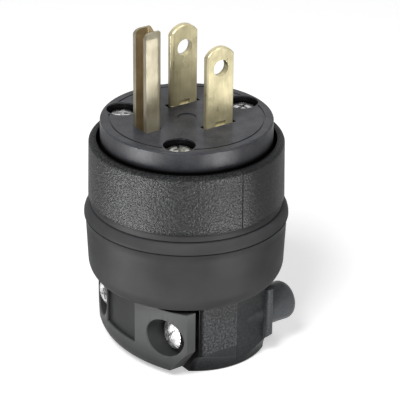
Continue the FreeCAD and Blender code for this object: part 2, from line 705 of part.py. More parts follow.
def wire_clamp(face, inward):
    """Pressure plate under the terminal screw's head."""
    across = inward.cross(UP)
    near = face - inward * WIRE_GAP
    far = near - inward * PLATE_THICK
    corner_a = near - across * (PLATE_WIDTH / 2) - UP * (PLATE_HEIGHT / 2)
    corner_b = far + across * (PLATE_WIDTH / 2) + UP * (PLATE_HEIGHT / 2)
    low = Vector(min(corner_a.x, corner_b.x), min(corner_a.y, corner_b.y), corner_a.z)
    high = Vector(max(corner_a.x, corner_b.x), max(corner_a.y, corner_b.y), corner_b.z)
    return block(low, high).cut(rod(TERMINAL_SHANK_R + FIT, near, -inward, PLATE_THICK))


def insert(start, direction, shank_r, length):
    """Threaded insert: a plain tube with the screw running in it."""
    tube = rod(shank_r + INSERT_WALL, start, direction, length)
    return tube.cut(rod(shank_r + THREAD_FIT, start, direction, length))


def clamp_strap():
    """Front half of the cord clamp: arched bar with a tongue that bears on the cord."""
    def at(x, y):
        return Vector(x, y, STRAP_LIFT)

    right_end = at(STRAP_END_X, -STRAP_HALF_WIDTH)
    left_end = at(STRAP_END_X, STRAP_HALF_WIDTH)
    outline = Part.Wire([
        Part.Arc(right_end, at(STRAP_FRONT_X, 0), left_end).toShape(),
        Part.makeLine(left_end, at(STRAP_BACK_X, STRAP_HALF_WIDTH)),
        Part.makeLine(at(STRAP_BACK_X, STRAP_HALF_WIDTH), at(STRAP_BACK_X, -STRAP_HALF_WIDTH)),
        Part.makeLine(at(STRAP_BACK_X, -STRAP_HALF_WIDTH), right_end),
    ])
    bar = Part.Face(outline).extrude(UP * (BLOCK_TOP_Z - STRAP_LIFT))
    inner_half = STRAP_HALF_WIDTH - STRAP_CUT_WIDTH
    cut_z = STRAP_LIFT + STRAP_CUT_HEIGHT
    bar = bar.common(side_prism([
        (-inner_half, STRAP_LIFT, 0),
        (inner_half, STRAP_LIFT, 0),
        (STRAP_HALF_WIDTH, cut_z, 0),
        (STRAP_HALF_WIDTH, BLOCK_TOP_Z, 0),
        (-STRAP_HALF_WIDTH, BLOCK_TOP_Z, 0),
        (-STRAP_HALF_WIDTH, cut_z, 0),
    ], STRAP_FRONT_X, STRAP_BACK_X))

    def is_front_foot(edge):
        return on_height(edge, STRAP_LIFT) and edge.BoundBox.XMin < STRAP_END_X - FIT

    bar = bar.makeFillet(STRAP_EDGE_R, edges_where(bar, is_front_foot))
    tongue_tip_x = -math.sqrt(CORD_R ** 2 - TONGUE_HALF_WIDTH ** 2)
    tongue = prism(rectangle(STRAP_BACK_X - FIT, tongue_tip_x, TONGUE_HALF_WIDTH), STRAP_LIFT, BLOCK_TOP_Z)
    bar = bar.fuse(tongue.cut(rod(CORD_R, Vector(0, 0, 0), UP, CLAMP_HEIGHT)))
    field_foot = Vector(STRAP_FRONT_X + STRAP_ARC_R, 0, FIELD_LIFT)
    field = rod(STRAP_ARC_R, field_foot, UP, CLAMP_HEIGHT)
    field = field.cut(rod(STRAP_ARC_R - FIELD_DEPTH, field_foot, UP, CLAMP_HEIGHT)).common(block(
        Vector(STRAP_FRONT_X, FIELD_LOW_Y, FIELD_LIFT),
        Vector(STRAP_BACK_X, FIELD_HIGH_Y, CLAMP_HEIGHT),
    ))
    bar = bar.cut(field)
    for side in (-1, 1):
        seat = Vector(COUNTERBORE_SEAT_X, side * CLAMP_SCREW_Y, CLAMP_SCREW_Z)
        bar = bar.cut(rod(COUNTERBORE_R, seat, -ALONG_X, COUNTERBORE_SEAT_X - STRAP_FRONT_X))
        bar = bar.cut(rod(CLAMP_SHANK_R + HOLE_SPARE, seat, ALONG_X, STRAP_BACK_X - COUNTERBORE_SEAT_X))
    bar = bar.removeSplitter()
    bar.rotate(Vector(STRAP_BACK_X, -STRAP_HALF_WIDTH, 0), UP, STRAP_TILT)
    return bar


def clamp_screw(side, slack):
    """Clamp screw whose head bears on the tilted strap, at the rim that the strap meets first."""
    tilt = math.radians(STRAP_TILT)
    reach = STRAP_HALF_WIDTH + side * CLAMP_SCREW_Y + CLAMP_HEAD_R
    stand = (STRAP_BACK_X - COUNTERBORE_SEAT_X) * math.cos(tilt) + reach * math.sin(tilt)
    seat = Vector(STRAP_BACK_X - stand - slack, side * CLAMP_SCREW_Y, CLAMP_SCREW_Z)
    return headed_screw(seat, ALONG_X, CLAMP_HEAD_R, CLAMP_HEAD_HEIGHT, CLAMP_SHANK_R, CLAMP_SCREW_LENGTH)


def clamp_insert(side):
    start = Vector(CLAMP_INSERT_END_X - CLAMP_INSERT_LENGTH, side * CLAMP_SCREW_Y, CLAMP_SCREW_Z)
    return insert(start, ALONG_X, CLAMP_SHANK_R, CLAMP_INSERT_LENGTH)


def build():
    parts = {
        "housing": housing(),
        "sleeve": sleeve(),
        "clamp_strap": clamp_strap(),
        "face_plate": face_plate(),
        "terminal_carrier": terminal_carrier(),
        "hot_blade": blade(1, FACE_Z + BLADE_LENGTH),
        "neutral_blade": blade(-1, FACE_Z + BLADE_LENGTH - NEUTRAL_TIP_DROP),
        "ground_pin": ground_pin(),
        "clamp_screw_left": clamp_screw(1, LEFT_SCREW_SLACK),
        "clamp_screw_right": clamp_screw(-1, 0),
        "clamp_insert_left": clamp_insert(1),
        "clamp_insert_right": clamp_insert(-1),
    }
    for name, (face, inward, strip) in terminals().items():
        parts[name + "_terminal_screw"] = terminal_screw(face, inward, strip)
        parts[name + "_wire_clamp"] = wire_clamp(face, inward)
    for number, seat in enumerate(face_screw_spots(FACE_SEAT_Z), start=1):
        parts[f"face_screw_{number}"] = headed_screw(
            seat, -UP, FACE_HEAD_R, FACE_HEAD_HEIGHT, FACE_SHANK_R, FACE_SCREW_LENGTH)
    for number, top in enumerate(face_screw_spots(POST_Z), start=1):
        parts[f"face_insert_{number}"] = insert(top, -UP, FACE_SHANK_R, FACE_INSERT_LENGTH)
    return parts


os.makedirs("parts", exist_ok=True)
for node, shape in build().items():
    solid = shape.Solids[0] if len(shape.Solids) == 1 else shape
    solid.exportStep(f"parts/{node}.step")
    print(node, len(shape.Solids), shape.isValid(), round(shape.Volume, 1))
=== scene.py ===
import json
import math

import bpy
from mathutils import Matrix, Quaternion, Vector


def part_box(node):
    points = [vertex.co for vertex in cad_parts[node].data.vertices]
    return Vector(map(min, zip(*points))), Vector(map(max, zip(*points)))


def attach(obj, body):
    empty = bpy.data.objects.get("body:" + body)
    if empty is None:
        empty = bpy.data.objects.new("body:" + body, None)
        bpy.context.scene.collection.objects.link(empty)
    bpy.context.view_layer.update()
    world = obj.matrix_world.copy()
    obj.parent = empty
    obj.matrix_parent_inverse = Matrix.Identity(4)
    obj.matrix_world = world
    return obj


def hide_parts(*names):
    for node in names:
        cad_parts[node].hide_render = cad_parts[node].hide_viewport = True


# A three-prong plug with a textured ring, a soft sleeve, a screwed face and a cord clamp.
# Metres. Z runs up the plug's axis, and X from the ground pin towards the two flat blades.

MM = 0.001
BODY = "root"

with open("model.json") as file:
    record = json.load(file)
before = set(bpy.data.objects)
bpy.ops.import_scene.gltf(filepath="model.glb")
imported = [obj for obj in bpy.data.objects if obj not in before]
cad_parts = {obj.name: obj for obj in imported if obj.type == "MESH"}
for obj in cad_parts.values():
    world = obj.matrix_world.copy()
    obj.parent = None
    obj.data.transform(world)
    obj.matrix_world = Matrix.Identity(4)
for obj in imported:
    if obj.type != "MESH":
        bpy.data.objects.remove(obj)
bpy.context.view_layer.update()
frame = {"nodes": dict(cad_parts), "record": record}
NODES = frame["nodes"]

# Places read from the frame
FACE_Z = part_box("face_plate")[1].z
LIP_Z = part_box("sleeve")[1].z
SLEEVE_FOOT_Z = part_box("sleeve")[0].z
BOSS_Z = sum(corner.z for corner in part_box("clamp_screw_right")) / 2

# Screws; turns are in degrees
FACE_SCREW_TURNS = {1: 20, 2: -35, 3: 65}
CLAMP_SCREW_TURNS = {"left": 15, "right": 50}
SCREW_SMOOTH_ANGLE = math.radians(30)
HEAD_TEETH = 26
TOOTH_DEPTH = 0.2 * MM
SLOT_WIDTH = 0.62 * MM
SLOT_DEPTH = 0.5 * MM
CROSS_REACH = 1.55 * MM
CROSS_WIDTH = 0.85 * MM
CROSS_DEPTH = 1.1 * MM
CROSS_TAPER = 0.55
# Heads: height, width of the sloping rim, its drop, and the drop of the domed part inside it
FACE_HEAD = (1.95 * MM, 0.45 * MM, 0.42 * MM, 0.1 * MM)
CLAMP_HEAD = (1.5 * MM, 0.75 * MM, 0.75 * MM, 0.2 * MM)
FACE_SHANK_R = 1.55 * MM
CLAMP_SHANK_R = 1.9 * MM
# Shares of a head's radius, rim or height that shape its dome and its slot
DOME_STEP = 0.25
DOME_R = 0.55
RIM_REACH = 0.7
TOP_BAND = 0.1
SLOT_REACH = 1.2
# How nearly a face looks straight up or down
UPRIGHT = 0.9

# Rounded edges of the stamped and moulded pieces
SHARP_ANGLE = math.radians(38)
BLADE_EDGE = 0.11 * MM
PIN_EDGE = 0.16 * MM
STRAP_EDGE = 0.22 * MM
MERGE_GAP = 0.001 * MM
FLAT_ANGLE = math.radians(0.5)
FLAT_WEIGHT = 90
EDGE_SEGMENTS = 2

# Mouldings: plain colour, plain roughness, and gloss as the shader's specular level
MOULDINGS = {
    "housing_plastic": ((0.03, 0.031, 0.034), 0.6, 0.09),
    "sleeve_rubber": ((0.04, 0.041, 0.043), 0.55, 0.017),
    "strap_plastic": ((0.075, 0.078, 0.077), 0.45, 0.09),
    "face_plastic": ((0.036, 0.037, 0.043), 0.25, 0.085),
    "carrier_plastic": ((0.2, 0.19, 0.17), 0.5, 0.5),
}
# The dark and the light of each moulding's pattern
SHADES = {
    "housing_plastic": ((0.005, 0.0055, 0.006), (0.040, 0.041, 0.042)),
    "sleeve_rubber": ((0.044, 0.045, 0.047), (0.086, 0.086, 0.087)),
    "strap_plastic": ((0.07, 0.073, 0.072), (0.1, 0.103, 0.102)),
    "face_plastic": ((0.028, 0.029, 0.034), (0.050, 0.051, 0.056)),
    "carrier_plastic": ((0.17, 0.16, 0.145), (0.22, 0.21, 0.19)),
}
# Brass: dark, light, roughness, and share of metal
BRASSES = {
    "blade_brass": ((0.46, 0.41, 0.24), (0.70, 0.625, 0.385), 0.3, 0.42),
    "ground_brass": ((0.26, 0.23, 0.155), (0.37, 0.335, 0.24), 0.34, 0.42),
}
# Plating: dark, light and roughness
PLATINGS = {
    "zinc_steel": ((0.42, 0.43, 0.43), (0.8, 0.8, 0.79), 0.27),
    "terminal_brass": ((0.5, 0.4, 0.18), (0.7, 0.58, 0.3), 0.28),
    "terminal_silver": ((0.5, 0.5, 0.48), (0.75, 0.75, 0.72), 0.25),
    "terminal_green": ((0.03, 0.2, 0.07), (0.08, 0.36, 0.15), 0.3),
}

# Noise patterns: the size of their features, and their detail
HOUSING_GRAIN = (0.42 * MM, 2.0)
HOUSING_FINE_GRAIN = (0.16 * MM, 1.0)
HOUSING_CLOUD = (5 * MM, 3.0)
SLEEVE_CLOUD = (9 * MM, 3.0)
SLEEVE_PATCH = (4 * MM, 3.0)
SLEEVE_GRAIN = (0.3 * MM, 2.0)
STRAP_CLOUD = (5 * MM, 4.0)
STRAP_PATCH = (1.5 * MM, 3.0)
STRAP_GRAIN = (0.35 * MM, 3.0)
FACE_CLOUD = (3 * MM, 3.0)
FACE_GRAIN = (0.35 * MM, 2.0)
FACE_WAVE = (2.2 * MM, 2.0)
FACE_RIPPLE = (0.4 * MM, 2.0)
CARRIER_CLOUD = (2 * MM, 3.0)
CARRIER_GRAIN = (0.4 * MM, 2.0)
BRASS_STREAK = (0.7 * MM, 2.0)
BRASS_CLOUD = (3.5 * MM, 3.0)
BRASS_PIT = (0.5 * MM, 2.0)
PLATED_MARK = (1.1 * MM, 2.0)
STREAK_STRETCH = (1.5, 1.5, 0.25)

# Ranges of noise values that the patterns use
COLOUR_NOISE = (0.35, 0.65)
ROUGHNESS_NOISE = (0.3, 0.7)
FLECK_RANGE = (0.42, 0.7)

# How deep each bump is
GRAIN_DEPTH = 0.24 * MM
SLEEVE_GRAIN_DEPTH = 0.01 * MM
STRAP_GRAIN_DEPTH = 0.02 * MM
CARRIER_GRAIN_DEPTH = 0.02 * MM
BRASS_PIT_DEPTH = 0.004 * MM
PLATED_MARK_DEPTH = 0.02 * MM

# Roughness: lowest and highest, or for metals what these ends add to their own
HOUSING_ROUGHNESS = (0.42, 0.5)
SLEEVE_ROUGHNESS = (0.48, 0.56)
STRAP_ROUGHNESS = (0.4, 0.52)
BRASS_SPREAD = (-0.04, 0.06)
PLATED_SPREAD = (-0.05, 0.08)
# Roughness of the bosses, which is even
BOSS_ROUGHNESS = 0.22

# Face plate: on its wall, then on its face
FACE_ROUGHNESS = (0.46, 0.27)
# Painted light that lifts the wall, and the face more
FACE_PAINTED_LIGHT = (1.2, 1.4)
FACE_WAVE_DEPTHS = (0.05 * MM, 0.02 * MM)

# Share of the pattern named, where it is mixed with another or added to it
FLECK_SHARE = 0.8
FACE_CLOUD_SHARE = 0.6
RIPPLE_SHARE = 0.25
STREAK_SHARE = 0.3
FINE_GRAIN_SHARE = 0.35

# Housing: where its regions are, which also bound its painted light and shade
LIP_SKIN = 0.01 * MM
SEAM_WIDTH = 0.16 * MM
CREVICE_R = 18.55 * MM
RING_FOOT_SHADOW = 0.6 * MM
PAD_SIDE_Y = 15.45 * MM
PAD_BACK_X = 2.25 * MM
PAD_FRONT_X = -7.1 * MM
PAD_FOOT_Z = 5.3 * MM
PAD_RIM_WIDTH = 0.9 * MM
GAP_SHADOW = 1.2 * MM
GAP_RANGE = (0.2, 0.6)
LIP_START_X = 9.2 * MM
FLARE_TOP_Z = 5.3 * MM
BOSS_START_X = 10.95 * MM
BOSS_BAND_DROP = 0.8 * MM
BOSS_BAND_REACH = 3.4 * MM

# Housing: how deep the grain of each region is beside the ring's, and the seam's depth
FLANK_GRAIN = 0.18
PAST_SEAM_GRAIN = 0.4
PAD_GRAIN = 1.1
BOSS_GRAIN = 0.06
SEAM_DEPTH = 0.5

# Painted light and shade: how light each place is painted beside the surface round it
# Painted shadow under the ring's lower edge, in the gap before the pads and on the walls of the face's
# fine lines
SHADOW_LEVEL = 0.1
# Painted shade in the crevice round the face plate
CREVICE_SHADE = 0.05
# Painted light: the clamp block is painted lighter than the ring
CLAMP_PAINTED_LIGHT = 4.1
# Painted light on the back of the clamp block, with its lip and bosses
BACK_PAINTED_LIGHT = 2.4
# Painted shade towards the foot of the clamp block
FLARE_FOOT_SHADE = 0.5
# Painted highlights along the pads' back rims
PAD_RIM_HIGHLIGHT = 3.0
# Painted shadow on the sleeve's top, under the ring's edge
SLEEVE_TOP_SHADOW = 0.2
# Painted light towards the sleeve's foot
SLEEVE_FOOT_LIGHT = 1.4
# Painted shade towards the strap's foot
STRAP_FOOT_SHADE = 0.3
# Painted shadow at the foot of the face plate's wall
WALL_FOOT_SHADOW = 0.02
# Painted shade in the face plate's recesses and slots
RECESS_SHADE = 0.05
# Painted shade on the brass edges that face along X
EDGE_SHADE = 0.62
# Painted highlight on the bosses: outside its band, then at its middle
BOSS_HIGHLIGHT_LEVELS = (0.85, 1.6)
# Painted light outside the strap's sunk field and holes, then painted shade inside them
STRAP_LIGHT_AND_SHADE = (1.3, 0.5)

# Sleeve: drops from its top to the two fine lines, their width and depth of painted shade, and its
# foot, above which its painted light reaches
UPPER_LINE_DROP = 1.75 * MM
LOWER_LINE_DROP = 4.05 * MM
SLEEVE_LINE_WIDTH = 0.2 * MM
SLEEVE_LINE_SHADE = 2.0
SLEEVE_FOOT_REACH = 8 * MM

# Strap: the arc of its curved front, with its field and holes sunk behind it, its end and its foot
STRAP_ARC_CENTRE = (12.87 * MM, 0.86 * MM)
STRAP_ARC_R = 28.52 * MM
STRAP_SKIN = 0.3 * MM
STRAP_END_Y = -15.4 * MM
STRAP_FOOT_Z = 1.4 * MM
STRAP_FOOT_REACH = 5.5 * MM

# Face plate: drops from its face, and how far its recesses reach from its middle, which bound its
# painted shade
FACE_SKIN = 0.4 * MM
WALL_SHADOW_LOW = 4.2 * MM
WALL_SHADOW_HIGH = 3.3 * MM
RECESS_REACH = 16.85 * MM
RECESS_DROP = 0.28 * MM
LINE_WALL_MIDDLE = 0.1 * MM
LINE_WALL_REACH = 0.09 * MM

# Brass: how far a face turns towards X at a stamped edge, painted darker there as shade, and the hollow
# of the pin, painted brown as shade
EDGE_FACING = (0.5, 0.8)
PIN_HOLLOW_Y = 1.4 * MM
PIN_HOLLOW_SHADE = (0.88, 0.74, 0.55)

# Camera, as an angle round the face's centre, with the point that it looks at
CAMERA_AZIMUTH = math.radians(-33.95)
CAMERA_ELEVATION = math.radians(24.06)
CAMERA_DISTANCE = 0.45
CAMERA_ROLL = math.radians(0.52)
AIM_RIGHT = 2.73 * MM
AIM_DOWN = 16.57 * MM
SENSOR_WIDTH = 36.0
LENS = 203.3

# Light: the white world's strength for other rays and for seen ones, the floor, and the lamps
SEEN_RAYS = ("Is Camera Ray", "Is Glossy Ray", "Is Transmission Ray")
WORLD_LEVEL = 0.15
SEEN_LEVEL = 1.0
FLOOR_COLOUR = (0.8, 0.8, 0.8, 1)
FLOOR_GLOW = 0.5
FLOOR_SIZE = 6.0
LAMP_DISTANCE = 0.6
PANEL_DISTANCE = 0.09
PANEL_DEPTH = 0.075
PANEL_LIFT = 0.001
# Name, degrees round the plug and above the floor, width and power
LAMPS = (("key", -58, 50, 0.2, 3.0), ("fill", 30, 60, 0.25, 0.8))
# Name, degrees round the plug, width and power
PANELS = (("sheen_left", -90, 0.05, 0.8), ("sheen_right", 8, 0.03, 0.62))


def deselect_all():
    bpy.ops.object.select_all(action="DESELECT")


def make_active(piece):
    deselect_all()
    piece.select_set(True)
    bpy.context.view_layer.objects.active = piece


def select_where(piece, kind, test):
    """In edit mode, selects the vertices whose place, or faces whose middle and normal, pass a test."""
    bpy.ops.mesh.select_all(action="DESELECT")
    bpy.ops.object.mode_set(mode="OBJECT")
    mesh = piece.data
    if kind == "VERT":
        for vertex in mesh.vertices:
            vertex.select = test(vertex.co)
    if kind == "FACE":
        for face in mesh.polygons:
            face.select = test(face.center, face.normal)
    bpy.ops.object.mode_set(mode="EDIT")
    bpy.ops.mesh.select_mode(type=kind)


def apply_modifier(piece, kind, **settings):
    make_active(piece)
    modifier = piece.modifiers.new(kind.lower(), kind)
    for name, value in settings.items():
        setattr(modifier, name, value)
    bpy.ops.object.modifier_apply(modifier=modifier.name)


def settle(piece, matrix):
    """Puts a piece modelled about the origin in its place, with the place kept in its mesh."""
    piece.data.transform(matrix)
    piece.matrix_world = Matrix.Identity(4)


def dress(piece, node, finish):
    """Gives a modelled piece its finish, hangs it on the body and hides the node that it stands for."""
    piece.data.materials.clear()
    piece.data.materials.append(finish)
    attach(piece, BODY)
    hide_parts(node)


# Finishes

def new_finish(name, colour, roughness, metallic=0.0, specular=0.5):
    """Material with plain values, some of which a pattern then replaces."""
    material = bpy.data.materials.new(name)
    material.use_nodes = True
    shader = material.node_tree.nodes["Principled BSDF"]
    shader.inputs["Base Color"].default_value = (*colour, 1)
    shader.inputs["Roughness"].default_value = roughness
    shader.inputs["Metallic"].default_value = metallic
    shader.inputs["Specular IOR Level"].default_value = specular
    return material


def new_moulding(name):
    colour, roughness, gloss = MOULDINGS[name]
    return new_finish(name, colour, roughness, specular=gloss)


def add(material, kind, inputs=None, **settings):
    """New node, with values or links for its sockets and settings for its menus."""
    tree = material.node_tree
    made = tree.nodes.new("ShaderNode" + kind)
    for name, value in settings.items():
        setattr(made, name, value)
    for socket, value in (inputs or {}).items():
        if isinstance(value, bpy.types.NodeSocket):
            tree.links.new(value, made.inputs[socket])
        else:
            made.inputs[socket].default_value = value
    return made


def feed(material, socket, value):
    shader = material.node_tree.nodes["Principled BSDF"]
    material.node_tree.links.new(value, shader.inputs[socket])


def place_of(material, stretch=(1, 1, 1)):
    """Object coordinates, scaled along each axis."""
    here = add(material, "TexCoord").outputs["Object"]
    if stretch == (1, 1, 1):
        return here
    return add(material, "Mapping", {"Vector": here, "Scale": stretch}).outputs["Vector"]


def noise(material, size, detail, stretch=(1, 1, 1)):
    """Noise whose features are about one size across."""
    made = add(material, "TexNoise", {
        "Vector": place_of(material, stretch),
        "Scale": 1 / size,
        "Detail": detail,
    })
    return made.outputs["Fac"]


def span(material, value, low, high, to_low, to_high):
    """Turns the range from low to high into another one, and holds the ends past it."""
    made = add(material, "MapRange", {
        "Value": value,
        "From Min": low,
        "From Max": high,
        "To Min": to_low,
        "To Max": to_high,
    })
    return made.outputs["Result"]


def combine(material, operation, first, second):
    made = add(material, "Math", {0: first, 1: second}, operation=operation)
    return made.outputs["Value"]


def along(material, axis):
    return add(material, "SeparateXYZ", {"Vector": place_of(material)}).outputs[axis]


def from_line(material, x, y):
    """Distance from an upright line."""
    flat = place_of(material, (1, 1, 0))
    made = add(material, "VectorMath", {0: flat, 1: (x, y, 0)}, operation="DISTANCE")
    return made.outputs["Value"]


def beyond(material, axis, value):
    """1 where the surface lies past a value on an axis, and 0 before it."""
    return combine(material, "GREATER_THAN", along(material, axis), value)


def tint(material, factor, dark, light, strength=None, shade_colour=None):
    """Feeds the shader a colour from dark to light, scaled by a strength of painted light and shade and
    multiplied by a colour of painted shade.
    """
    ends = {0: factor, 6: (*dark, 1), 7: (*light, 1)}
    colour = add(material, "Mix", ends, data_type="RGBA").outputs[2]
    if strength is not None:
        dimmed = {0: colour, "Scale": strength}
        colour = add(material, "VectorMath", dimmed, operation="SCALE").outputs[0]
    if shade_colour is not None:
        shaded = {0: colour, 1: shade_colour}
        colour = add(material, "VectorMath", shaded, operation="MULTIPLY").outputs[0]
    feed(material, "Base Color", colour)


def bump(material, height, distance):
    made = add(material, "Bump", {"Height": height, "Distance": distance, "Strength": 1.0})
    feed(material, "Normal", made.outputs["Normal"])


def choose(material, mask, outside, inside):
    """One value where a mask is 0 and another where it is 1."""
    return span(material, mask, 0, 1, outside, inside)


def times(material, first, second):
    return combine(material, "MULTIPLY", first, second)


def near(material, value, middle, reach):
    """1 at a value, falling evenly to 0 at a reach from it."""
    gap = size_of(material, combine(material, "SUBTRACT", value, middle))
    return span(material, gap, 0, reach, 1, 0)


def contrast(material, value):
    """Spreads the middle of a noise's range over 0 to 1."""
    return span(material, value, *COLOUR_NOISE, 0, 1)


def vary(material, value, low, high):
    """Goes from low to high over most of a noise's range."""
    return span(material, value, *ROUGHNESS_NOISE, low, high)


def size_of(material, value):
    """A value without its sign."""
    return combine(material, "ABSOLUTE", value, 0)


def mix(material, first, second, share):
    """Two patterns mixed, with this share of the first."""
    rest = times(material, second, 1 - share)
    return combine(material, "ADD", times(material, first, share), rest)


def housing_places(finish):
    """Masks of the housing's regions: 1 inside each and 0 outside it."""
    x = along(finish, "X")
    on_ring = beyond(finish, "Z", LIP_Z - LIP_SKIN)
    on_clamp = combine(finish, "SUBTRACT", 1, on_ring)
    side = size_of(finish, along(finish, "Y"))
    on_pad = times(finish, combine(finish, "GREATER_THAN", side, PAD_SIDE_Y), on_clamp)
    on_pad = times(finish, on_pad, combine(finish, "LESS_THAN", x, PAD_BACK_X))
    on_pad = times(finish, on_pad, beyond(finish, "Z", PAD_FOOT_Z))
    in_crevice = combine(finish, "LESS_THAN", from_line(finish, 0, 0), CREVICE_R)
    return {
        "ring": on_ring,
        "clamp": on_clamp,
        "pad": on_pad,
        "pad_rim": times(finish, near(finish, x, PAD_BACK_X, PAD_RIM_WIDTH), on_pad),
        "boss": times(finish, beyond(finish, "X", BOSS_START_X), on_clamp),
        "back": times(finish, beyond(finish, "X", LIP_START_X), on_clamp),
        "gap": times(finish, near(finish, x, PAD_FRONT_X, GAP_SHADOW), on_clamp),
        "past_seam": times(finish, beyond(finish, "X", 0), on_ring),
        "seam": times(finish, near(finish, x, 0, SEAM_WIDTH), on_ring),
        "crevice": times(finish, on_ring, in_crevice),
        "ring_foot": near(finish, along(finish, "Z"), LIP_Z, RING_FOOT_SHADOW),
    }


def housing_painted_light_and_shade(finish, places):
    """Painted light and shade: how much lighter or darker each region is painted than the ring."""
    z = along(finish, "Z")
    # Painted light: the clamp block is painted lighter than the ring
    clamp = choose(finish, places["clamp"], 1.0, CLAMP_PAINTED_LIGHT)
    # Painted highlight: a light band across the bosses, darker above and below it
    band = near(finish, z, BOSS_Z - BOSS_BAND_DROP, BOSS_BAND_REACH)
    boss = span(finish, band, 0, 1, *BOSS_HIGHLIGHT_LEVELS)
    # Painted shade in the crevice round the face plate
    dim = choose(finish, places["crevice"], clamp, CREVICE_SHADE)
    for change in (
        # Painted shadow under the ring's lower edge
        choose(finish, places["ring_foot"], 1.0, SHADOW_LEVEL),
        # Painted shade at the pads' front, in the gap before the strap
        span(finish, places["gap"], *GAP_RANGE, 1.0, SHADOW_LEVEL),
        # Painted light on the back of the clamp block
        choose(finish, places["back"], 1.0, BACK_PAINTED_LIGHT),
        # Painted shade towards the foot of the clamp block
        span(finish, z, 0, FLARE_TOP_Z, FLARE_FOOT_SHADE, 1.0),
        # Painted highlight band on the bosses
        choose(finish, places["boss"], 1.0, boss),
        # Painted highlights along the pads' back rims
        choose(finish, places["pad_rim"], 1.0, PAD_RIM_HIGHLIGHT),
    ):
        dim = times(finish, dim, change)
    return dim


def housing_finish():
    """Dark moulding: coarse spark grain on the ring and side pads, smoother flanks, glossy bosses."""
    finish = new_moulding("housing_plastic")
    places = housing_places(finish)
    grain = noise(finish, *HOUSING_GRAIN)
    fine = noise(finish, *HOUSING_FINE_GRAIN)
    height = combine(finish, "ADD", grain, times(finish, fine, FINE_GRAIN_SHARE))
    level = choose(finish, places["ring"], FLANK_GRAIN, 1.0)
    for place, share in (("past_seam", PAST_SEAM_GRAIN), ("pad", PAD_GRAIN), ("boss", BOSS_GRAIN)):
        level = choose(finish, places[place], level, share)
    groove = times(finish, places["seam"], SEAM_DEPTH)
    bump(finish, combine(finish, "SUBTRACT", times(finish, height, level), groove), GRAIN_DEPTH)
    # Flecks lighter on the grain's high points: the grain's own tone, and painted shade in its hollows
    fleck = times(finish, span(finish, grain, *FLECK_RANGE, 0, 1), level)
    cloud = noise(finish, *HOUSING_CLOUD)
    shade = mix(finish, fleck, cloud, FLECK_SHARE)
    # Darker along the seam's line, and painted shadow under the ring's lower edge
    shadow = combine(finish, "ADD", places["seam"], places["ring_foot"])
    shade = combine(finish, "SUBTRACT", shade, shadow)
    dim = housing_painted_light_and_shade(finish, places)
    tint(finish, shade, *SHADES["housing_plastic"], dim)
    rough = vary(finish, cloud, *HOUSING_ROUGHNESS)
    feed(finish, "Roughness", choose(finish, places["boss"], rough, BOSS_ROUGHNESS))
    return finish


def sleeve_finish():
    """Soft moulding: smooth satin with faint clouding, painted shade in the lines above and below the
    bead and on its top under the ring, and painted light towards its foot.
    """
    finish = new_moulding("sleeve_rubber")
    height = along(finish, "Z")
    # Painted shade in the fine grooves above and below the bead
    upper = near(finish, height, LIP_Z - UPPER_LINE_DROP, SLEEVE_LINE_WIDTH)
    lower = near(finish, height, LIP_Z - LOWER_LINE_DROP, SLEEVE_LINE_WIDTH)
    lines = combine(finish, "ADD", upper, lower)
    shade = noise(finish, *SLEEVE_CLOUD)
    shade = combine(finish, "SUBTRACT", shade, times(finish, lines, SLEEVE_LINE_SHADE))
    # Painted shadow on the sleeve's top, under the ring's edge
    top = near(finish, height, LIP_Z, SLEEVE_LINE_WIDTH)
    # Painted light towards the sleeve's foot
    foot_end = SLEEVE_FOOT_Z + SLEEVE_FOOT_REACH
    dim = span(finish, height, SLEEVE_FOOT_Z, foot_end, SLEEVE_FOOT_LIGHT, 1.0)
    dim = times(finish, dim, choose(finish, top, 1.0, SLEEVE_TOP_SHADOW))
    tint(finish, shade, *SHADES["sleeve_rubber"], dim)
    feed(finish, "Roughness", vary(finish, noise(finish, *SLEEVE_PATCH), *SLEEVE_ROUGHNESS))
    bump(finish, noise(finish, *SLEEVE_GRAIN), SLEEVE_GRAIN_DEPTH)
    return finish


def strap_finish():
    """Fine matte moulding, painted darker as shade in its sunk field and holes and towards its foot,
    and painted lighter on the rest of its front.
    """
    finish = new_moulding("strap_plastic")
    # Painted shade inside the sunk field and holes, painted light outside them
    sunk = combine(finish, "LESS_THAN", from_line(finish, *STRAP_ARC_CENTRE), STRAP_ARC_R - STRAP_SKIN)
    sunk = times(finish, sunk, beyond(finish, "Y", STRAP_END_Y))
    # Painted shade towards the strap's foot
    foot_end = STRAP_FOOT_Z + STRAP_FOOT_REACH
    low = span(finish, along(finish, "Z"), STRAP_FOOT_Z, foot_end, STRAP_FOOT_SHADE, 1)
    dim = times(finish, low, choose(finish, sunk, *STRAP_LIGHT_AND_SHADE))
    tint(finish, noise(finish, *STRAP_CLOUD), *SHADES["strap_plastic"], dim)
    feed(finish, "Roughness", vary(finish, noise(finish, *STRAP_PATCH), *STRAP_ROUGHNESS))
    bump(finish, noise(finish, *STRAP_GRAIN), STRAP_GRAIN_DEPTH)
    return finish


